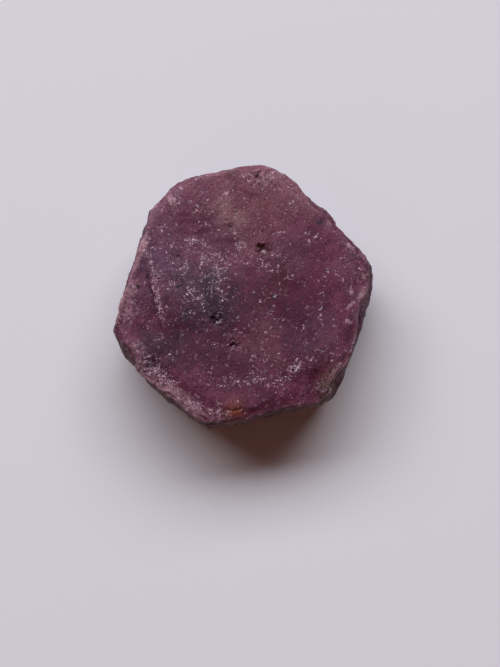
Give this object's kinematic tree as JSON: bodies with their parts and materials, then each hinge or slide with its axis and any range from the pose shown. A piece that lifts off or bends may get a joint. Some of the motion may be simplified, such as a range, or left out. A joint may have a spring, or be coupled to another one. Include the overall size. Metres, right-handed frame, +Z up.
{
  "type": "raw ruby crystal",
  "caption": "Raw ruby crystal: a short, worn hexagonal barrel of purplish red corundum with a pitted flat top, broken off flat at its base.",
  "frame": {"origin": "middle of the bounding box, on the flat base on which the crystal rests", "axes": "+Z up, along the crystal's hexagonal axis and out of its flat top; +X and +Y lie along the table, with the widest broken rim towards -Y"},
  "size_m": [0.0372, 0.038, 0.0128],
  "materials": {
    "raw_ruby": "satin"
  },
  "bodies": {
    "root": {"ruby_crystal": "raw_ruby"}
  },
  "joints": []
}
